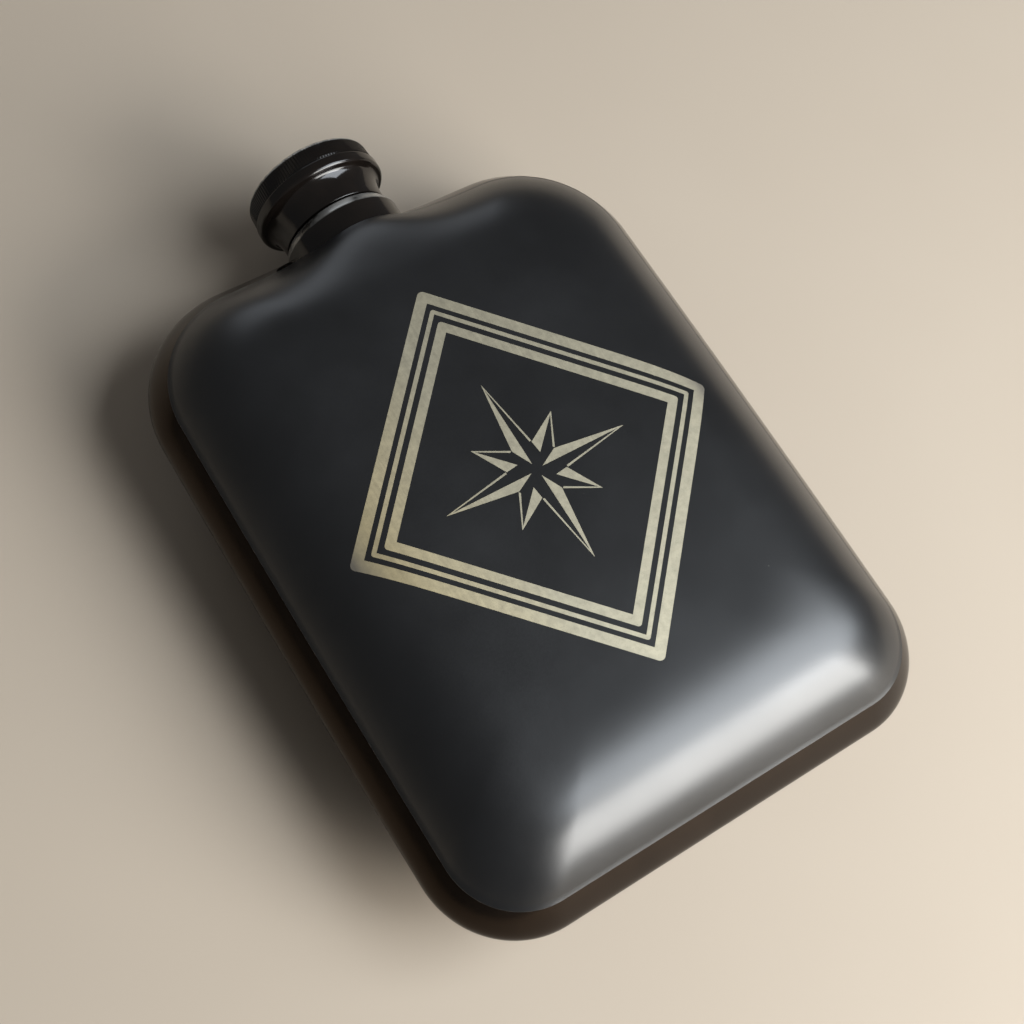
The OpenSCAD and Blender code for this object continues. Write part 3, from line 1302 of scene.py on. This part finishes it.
@dataclass
class Neck:
    """The flared gloss collar and the threaded spout inside it."""

    axis: NeckAxis
    bore: float = 6.4
    tube: float = 7.4
    thread_crest: float = 7.95
    thread_ends: Point = (4.7, 10.1)
    thread_sunk: float = 0.15
    lead: float = 2.5
    plug_reach: float = 9.0
    collar_wall: float = 0.9

    def cutter(self) -> bpy.types.Object:
        """A plug that cuts the collar's hole in the body.

        Returns:
            The plug, to be removed after use.
        """
        radius, reach = self.axis.collar_radius + PLAY, self.plug_reach
        corners = [(r, h, 0.0) for r, h in
                   ((0.0, -reach), (radius, -reach), (radius, reach), (0.0, reach))]
        return self.axis.turned("neck_plug", corners, Silicone("plug"))

    def build(self) -> None:
        """Builds the collar and the spout."""
        edge = self.axis.collar_radius
        bottom, lip = self.axis.rise_of("neck_collar")
        inner, under, hole = edge - self.collar_wall, lip - self.collar_wall, self.tube + PLAY
        enamel = WornEnamel(
            "gloss_neck_enamel", polish=0.08, rubbed=0.2, axis_height=self.axis.height,
            worn_from=self.axis.base + 0.45, worn_radius=inner, share=0.55, patch_pitch=4.5,
            patch_least=0.06)
        collar = self.axis.turned("collar", [
            (edge, bottom, 0.1), (edge, 0.62, 1.1), (edge - 0.66, lip - 0.22, 0.3),
            (edge - 0.95, lip, 0.08), (hole, lip, 0.05), (hole, under, 0.0), (inner, under, 0.5),
            (inner, bottom, 0.1),
        ], enamel, arc_steps=10)
        hand_over(collar, Rides.FLASK, Slot.GLOSS_BLACK, "neck_collar")
        steel = TurnedSteel("turned_spout_steel", axis_height=self.axis.height)
        low, mouth = self.axis.rise_of("neck_spout")
        tube = self.axis.turned("spout", [
            (self.bore, low, 0.1), (self.tube, low, 0.1), (self.tube, mouth, 0.28),
            (self.bore, mouth, 0.28),
        ], steel)
        ridge = self.axis.threaded("spout_thread", self.tube - self.thread_sunk, self.thread_crest,
                                   self.thread_ends, 0.0, self.lead, steel)
        spout = joined("spout", tube, ridge)
        hand_over(spout, Rides.FLASK, Slot.BARE_STEEL, "neck_spout")


@dataclass
class ScrewCap:
    """The spool-shaped cap with its toothed cup, threaded liner and seal."""

    axis: NeckAxis
    neck: Neck
    waist: float = 9.6
    cavity: float = 8.95
    liner_bore: float = 8.15
    liner_crest: float = 7.62
    liner_thread: Point = (5.3, 9.75)
    flare: float = 3.6
    bead_foot: float = 7.4
    bead_edge: float = 0.7
    skirt: float = 9.5
    plate: float = 12.6
    ceiling: float = 12.0
    cup_bore: float = 10.9
    teeth: int = 140
    tooth_depth: float = 0.15
    taper: float = 0.2
    cup_round: float = 0.95
    cup_edge_drop: float = 0.30
    tooth_slope: float = 0.28
    tooth_stop: float = 0.12
    tooth_sunk: float = 0.16
    tooth_proud: float = 0.01

    def shell(self, finish: Finish) -> bpy.types.Object:
        """The spool, from its waist up to its plate.

        Args:
            finish: Its finish.

        Returns:
            The object.
        """
        bottom, _ = self.axis.rise_of("cap_shell")
        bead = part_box("cap_shell")[1].x / MM
        turn = bead - self.bead_edge
        top, rim = self.skirt - PLAY, self.cup_bore - PLAY
        flare_size = (turn - self.waist, self.bead_foot - self.flare)
        bead_size = (self.bead_edge, self.bead_edge)
        section = [(self.cavity, bottom, 0.05), (self.waist, bottom, 0.16)]
        section += sweep((turn, self.flare), flare_size, 180, 90, 18)
        section += sweep((turn, self.bead_foot + self.bead_edge), bead_size, -82, 0, 10)
        section += [
            (bead, top, 0.3), (rim, top, 0.0), (rim, self.plate, 0.1), (0.0, self.plate, 0.0),
            (0.0, self.ceiling, 0.0), (self.cavity, self.ceiling, 0.0)]
        return self.axis.turned("cap_spool", section, finish, arc_steps=9)

    def tooth(self, height: float, pitch: float) -> bpy.types.Object:
        """One grip tooth on its root. It leans in as the cup tapers and follows its round shoulder.

        Args:
            height: The tooth's height along the neck.
            pitch: The distance to the next tooth.

        Returns:
            The object.
        """
        half, crest = pitch * 0.47, pitch * 0.12
        rise = self.cup_round - self.tooth_stop
        levels = [(0.0, 0.0, 0.0), (self.tooth_slope, 1.0, 0.0)]
        for share in (0.0, 0.25, 0.5, 0.75, 1.0):
            up = rise * share
            drop = self.cup_round - math.sqrt(self.cup_round ** 2 - up ** 2)
            levels.append((height - rise + up, 1.0 - share, drop))
        points: list[Triple] = []
        for level, share, drop in levels:
            lean = self.taper * level / height + drop
            out = self.tooth_depth * share + self.tooth_proud - lean
            foot = -self.tooth_sunk - lean
            points += [(foot, -half, level), (-lean, -half, level), (out, -crest, level),
                       (out, crest, level), (-lean, half, level), (foot, half, level)]
        last = len(points) - 6
        ends = [[5, 4, 3, 2, 1, 0], [last + i for i in range(6)]]
        return new_object("cap_grip", points, quads(len(levels), 6) + ends)

    def cup(self, finish: Finish) -> bpy.types.Object:
        """The cup that closes the cap: a toothed skirt under a shallow crown.

        Args:
            finish: Its finish.

        Returns:
            The object.
        """
        _, crown = self.axis.rise_of("cap_top")
        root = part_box("cap_top")[1].x / MM - self.tooth_depth - PLAY
        shoulder, under = crown - self.cup_edge_drop, self.plate + PLAY
        body = self.axis.turned("cap_cup", [
            (self.cup_bore, self.skirt, 0.05), (root, self.skirt, 0.06),
            (root - self.taper, shoulder, self.cup_round), (root - 1.9, crown - 0.20, 0.6),
            (0.0, crown, 0.0), (0.0, under, 0.0), (self.cup_bore, under, 0.05),
        ], finish, arc_steps=9)
        grip = self.tooth(shoulder - self.tooth_stop - self.skirt, FULL_TURN * root / self.teeth)
        settle(grip)
        base = self.axis.base + self.skirt + 0.05
        GripRing().run(grip, Teeth=self.teeth, Radius=root * MM, Base=base * MM,
                       Height=self.axis.height * MM, Finish=finish.material())
        grip.data.set_sharp_from_angle(angle=math.radians(25))
        return joined("cap_cup", body, grip)

    def liner(self, finish: Finish) -> bpy.types.Object:
        """The threaded liner pressed into the cap.

        Args:
            finish: Its finish.

        Returns:
            The object.
        """
        low, high = self.axis.rise_of("cap_insert")
        skin = self.cavity - PLAY
        tube = self.axis.turned("cap_liner", [
            (self.liner_bore, low, 0.2), (skin, low, 0.1), (skin, high, 0.0),
            (self.liner_bore, high, 0.0)], finish)
        lead = self.neck.lead
        gap = self.liner_thread[0] - self.neck.thread_ends[0]
        shift = lead * (math.floor(gap / lead) + 0.5) - gap
        root = self.liner_bore + self.neck.thread_sunk
        ridge = self.axis.threaded("liner_thread", root, self.liner_crest, self.liner_thread, shift,
                                   lead, finish)
        return joined("cap_liner", tube, ridge)

    def seal(self) -> bpy.types.Object:
        """The round gasket under the cap's ceiling.

        Returns:
            The object.
        """
        low, high = self.axis.rise_of("cap_seal")
        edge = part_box("cap_seal")[1].x / MM
        return self.axis.turned("gasket", [
            (0.0, low, 0.0), (edge - 2.2, low, 0.1), (edge, low, 0.16), (edge, high, 0.16),
            (0.0, high, 0.0),
        ], Silicone("milky_silicone"))

    def build(self) -> None:
        """Builds the cap."""
        enamel = GlossEnamel("gloss_cap_enamel", polish=0.1, rubbed=0.24)
        crown = self.axis.rise_of("cap_top")[1]
        height = self.axis.height
        rubbed = WornEnamel(
            "worn_cup_enamel", polish=0.1, rubbed=0.24, axis_height=height, share=0.95,
            worn_from=self.axis.base + crown - 1.1, worn_radius=self.cup_bore - 0.7,
            steel=(0.80, 0.79, 0.74))
        hand_over(self.shell(enamel), Rides.CAP, Slot.GLOSS_BLACK, "cap_shell")
        hand_over(self.cup(rubbed), Rides.CAP, Slot.GLOSS_BLACK, "cap_top")
        steel = TurnedSteel("turned_liner_steel", axis_height=height, light=(0.5, 0.49, 0.46))
        hand_over(self.liner(steel), Rides.CAP, Slot.BARE_STEEL, "cap_insert")
        hand_over(self.seal(), Rides.CAP_LIFT, Slot.SEAL, "cap_seal")


# ---------------------------------------------------------------- studio


@dataclass
class Softbox:
    """A rectangular light aimed at the flask."""

    name: str
    toward: Triple
    distance: float
    width: float
    height: float
    power: float
    colour: Triple = (1.0, 1.0, 1.0)

    def build(self, aim: Vector) -> None:
        """Hangs the light.

        Args:
            aim: The point that it faces, in metres.
        """
        lamp = bpy.data.lights.new(self.name, "AREA")
        lamp.shape, lamp.size, lamp.size_y = "RECTANGLE", self.width, self.height
        lamp.energy, lamp.color = self.power, self.colour
        made = linked(self.name, lamp)
        way = Vector(self.toward).normalized()
        made.location = aim + way * self.distance
        made.rotation_mode = "QUATERNION"
        made.rotation_quaternion = way.to_track_quat("Z", "Y")


@dataclass
class Studio:
    """The table, the lights and the camera."""

    azimuth_deg: float = -53.3
    elevation_deg: float = 64.8
    roll_deg: float = 22.9
    distance: float = 0.2564
    aim: Triple = (-0.0015, 0.0016, 0.015)
    lens: float = 56.25
    floor_half: float = 0.8
    ambient: float = 0.13
    backdrop: Triple = (0.58, 0.54, 0.49)
    lights: tuple[Softbox, ...] = (
        Softbox("window", (0.38, -0.80, 0.376), 0.62, 0.42, 0.36, 7.0, (1.0, 0.99, 0.96)),
        Softbox("upper_window", (0.50, -0.44, 0.74), 0.70, 0.50, 0.46, 6.4, (0.88, 0.94, 1.0)),
        Softbox("back_window", (0.20, 0.92, 0.34), 0.9, 0.5, 0.36, 0.65, (0.86, 0.92, 1.0)),
    )

    def build_floor(self) -> None:
        """Lays the table under the flask's back."""
        side = self.floor_half / MM
        corners = [(-side, -side, 0.0), (side, -side, 0.0), (side, side, 0.0), (-side, side, 0.0)]
        table = new_object("table", corners, [[0, 1, 2, 3]])
        dress(table, StudioFloor("plain_table"))

    def build_camera(self) -> None:
        """Stands the camera where the flask is seen from over its lower left side."""
        lens = bpy.data.cameras.new("camera")
        lens.lens, lens.sensor_width = self.lens, 36.0
        lens.clip_start, lens.clip_end = 0.01, 20.0
        camera = linked("camera", lens)
        around, up = math.radians(self.azimuth_deg), math.radians(self.elevation_deg)
        flat = math.cos(up)
        back = Vector((math.sin(around) * flat, -math.cos(around) * flat, math.sin(up)))
        camera.location = Vector(self.aim) + back * self.distance
        camera.rotation_mode = "QUATERNION"
        roll = Quaternion((0.0, 0.0, 1.0), math.radians(self.roll_deg))
        camera.rotation_quaternion = (-back).to_track_quat("-Z", "Y") @ roll
        bpy.context.scene.camera = camera

    def build_sky(self) -> None:
        """Gives dim, even light, and a pale backdrop where the camera sees past the table."""
        world = bpy.data.worlds.new("studio")
        world.use_nodes = True
        bpy.context.scene.world = world
        canvas = Canvas(world.node_tree)
        seen = canvas.add("ShaderNodeLightPath").outputs["Is Camera Ray"]
        dim = (self.ambient,) * 3
        colour = canvas.mix_colour(seen, dim, self.backdrop)
        glow = canvas.add("ShaderNodeBackground", {}, {"Color": colour, "Strength": 1.0})
        canvas.add("ShaderNodeOutputWorld", {}, {"Surface": glow.outputs[0]})

    def build(self) -> None:
        """Sets up the studio."""
        self.build_camera()
        self.build_floor()
        self.build_sky()
        for light in self.lights:
            light.build(Vector(self.aim))
        view = bpy.context.scene.view_settings
        view.view_transform, view.look = "Standard", "None"


def main() -> None:
    """Builds the studio and the flask, in order."""
    logging.basicConfig(level=logging.INFO, format="%(name)s: %(message)s")
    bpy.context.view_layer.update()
    Studio().build()
    axis = NeckAxis()
    neck = Neck(axis)
    body = PressedBody()
    plug = neck.cutter()
    front = body.build(plug)
    bpy.data.objects.remove(plug)
    FaceMarks(body).build(front)
    neck.build()
    ScrewCap(axis, neck).build()


if __name__ == "__main__":
    main()
